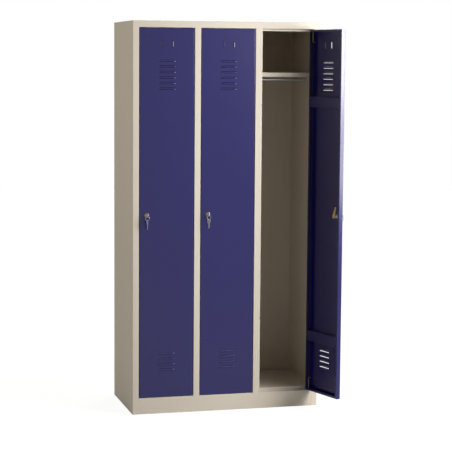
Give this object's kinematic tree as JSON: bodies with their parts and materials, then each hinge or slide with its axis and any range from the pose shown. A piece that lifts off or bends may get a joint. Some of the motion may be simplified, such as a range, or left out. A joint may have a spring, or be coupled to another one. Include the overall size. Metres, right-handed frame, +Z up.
{
  "type": "locker cabinet",
  "caption": "Steel locker cabinet on a plinth with hinged, lockable doors, louvres, hat shelves and hanging rails; the right-hand door stands open.",
  "frame": {"origin": "centre of the cabinet's base on the floor, on the underside of the rail below the middle of the floor panel", "axes": "+X to the right seen from the front, +Y from the doors to the back panel, +Z up"},
  "size_m": [0.9443, 0.6821, 1.8],
  "materials": {
    "carcass": "light grey satin powder coat, fine orange peel",
    "door": "deep blue-violet satin powder coat, fine orange peel",
    "rail_steel": "zinc-plated drawn tube, fine draw lines",
    "hinge_steel": "bright zinc plating",
    "rubber": "matt black rubber",
    "lock_chrome": "nickel-chrome plated zinc casting",
    "lock_brass": "turned brass and yellow-passivated steel",
    "screw_zinc": "zinc-plated steel",
    "key_nickel": "nickel-plated stamped brass",
    "ring_steel": "plated spring wire"
  },
  "bodies": {
    "cabinet": {"left_side_panel": "carcass", "right_side_panel": "carcass", "post_1": "carcass", "post_2": "carcass", "partition_1": "carcass", "partition_2": "carcass", "back_panel": "carcass", "top_panel": "carcass", "floor_panel": "carcass", "plinth_front": "carcass", "plinth_back": "carcass", "plinth_centre_rail": "carcass", "rail_sockets": "rail_steel", "hinge_washers": "hinge_steel", "door_buffers": "rubber", "hat_shelf_1": "carcass", "hat_shelf_2": "carcass", "hat_shelf_3": "carcass", "hanging_rail_1": "rail_steel", "hanging_rail_2": "rail_steel", "hanging_rail_3": "rail_steel"},
    "door_body_1": {"door_1": "door", "upper_stiffener_1": "door", "lower_stiffener_1": "door", "top_hinge_pin_1": "hinge_steel", "bottom_hinge_pin_1": "hinge_steel", "lock_housing_1": "lock_chrome", "lock_nut_1": "lock_chrome"},
    "lock_body_1": {"lock_plug_1": "lock_brass", "lock_cam_1": "lock_brass", "cam_screw_1": "screw_zinc", "key_1": "key_nickel"},
    "ring_body_1": {"key_ring_1": "ring_steel"},
    "spare_key_body_1": {"spare_key_1": "key_nickel"},
    "door_body_2": {"door_2": "door", "upper_stiffener_2": "door", "lower_stiffener_2": "door", "top_hinge_pin_2": "hinge_steel", "bottom_hinge_pin_2": "hinge_steel", "lock_housing_2": "lock_chrome", "lock_nut_2": "lock_chrome"},
    "lock_body_2": {"lock_plug_2": "lock_brass", "lock_cam_2": "lock_brass", "cam_screw_2": "screw_zinc", "key_2": "key_nickel"},
    "ring_body_2": {"key_ring_2": "ring_steel"},
    "spare_key_body_2": {"spare_key_2": "key_nickel"},
    "door_body_3": {"door_3": "door", "upper_stiffener_3": "door", "lower_stiffener_3": "door", "top_hinge_pin_3": "hinge_steel", "bottom_hinge_pin_3": "hinge_steel", "lock_housing_3": "lock_chrome", "lock_nut_3": "lock_chrome"},
    "lock_body_3": {"lock_plug_3": "lock_brass", "lock_cam_3": "lock_brass", "cam_screw_3": "screw_zinc", "key_3": "key_nickel"},
    "ring_body_3": {"key_ring_3": "ring_steel"},
    "spare_key_body_3": {"spare_key_3": "key_nickel"}
  },
  "joints": [
    {"name": "door_1_hinge", "type": "hinge", "parent": "cabinet", "child": "door_body_1", "pos_m": [-0.168, -0.218, 0.9225], "axis": [0, 0, 1], "range_deg": [0, 110]},
    {"name": "lock_1_turn", "type": "hinge", "parent": "door_body_1", "child": "lock_body_1", "pos_m": [-0.3805, -0.225, 0.92], "axis": [0, -1, 0], "range_deg": [0, 90]},
    {"name": "key_ring_1_swing", "type": "hinge", "parent": "lock_body_1", "child": "ring_body_1", "pos_m": [-0.3805, -0.2465, 0.9166], "axis": [1, 0, 0], "range_deg": [-75, 10]},
    {"name": "spare_key_1_slide_round", "type": "hinge", "parent": "ring_body_1", "child": "spare_key_body_1", "pos_m": [-0.3805, -0.2465, 0.9076], "axis": [0, -1, 0], "range_deg": [-90, 0]},
    {"name": "door_2_hinge", "type": "hinge", "parent": "cabinet", "child": "door_body_2", "pos_m": [0.119, -0.218, 0.9225], "axis": [0, 0, 1], "range_deg": [0, 110]},
    {"name": "lock_2_turn", "type": "hinge", "parent": "door_body_2", "child": "lock_body_2", "pos_m": [-0.0935, -0.225, 0.92], "axis": [0, -1, 0], "range_deg": [0, 90]},
    {"name": "key_ring_2_swing", "type": "hinge", "parent": "lock_body_2", "child": "ring_body_2", "pos_m": [-0.0935, -0.2465, 0.9166], "axis": [1, 0, 0], "range_deg": [-75, 10]},
    {"name": "spare_key_2_slide_round", "type": "hinge", "parent": "ring_body_2", "child": "spare_key_body_2", "pos_m": [-0.0935, -0.2465, 0.9076], "axis": [0, -1, 0], "range_deg": [-90, 0]},
    {"name": "door_3_hinge", "type": "hinge", "parent": "cabinet", "child": "door_body_3", "pos_m": [0.406, -0.218, 0.9225], "axis": [0, 0, 1], "range_deg": [-106.5, 3.5]},
    {"name": "lock_3_turn", "type": "hinge", "parent": "door_body_3", "child": "lock_body_3", "pos_m": [0.47307, -0.41976, 0.92], "axis": [0.9588, 0.284, 0], "range_deg": [0, 90]},
    {"name": "key_ring_3_swing", "type": "hinge", "parent": "lock_body_3", "child": "ring_body_3", "pos_m": [0.49368, -0.41365, 0.9166], "axis": [-0.284, 0.9588, 0], "range_deg": [-75, 10]},
    {"name": "spare_key_3_slide_round", "type": "hinge", "parent": "ring_body_3", "child": "spare_key_body_3", "pos_m": [0.49368, -0.41365, 0.9076], "axis": [0.9588, 0.284, 0], "range_deg": [-90, 0]}
  ],
  "couplings": [
    {"joint": "spare_key_1_slide_round", "follows": "lock_1_turn", "ratio": -1},
    {"joint": "spare_key_2_slide_round", "follows": "lock_2_turn", "ratio": -1},
    {"joint": "spare_key_3_slide_round", "follows": "lock_3_turn", "ratio": -1}
  ]
}
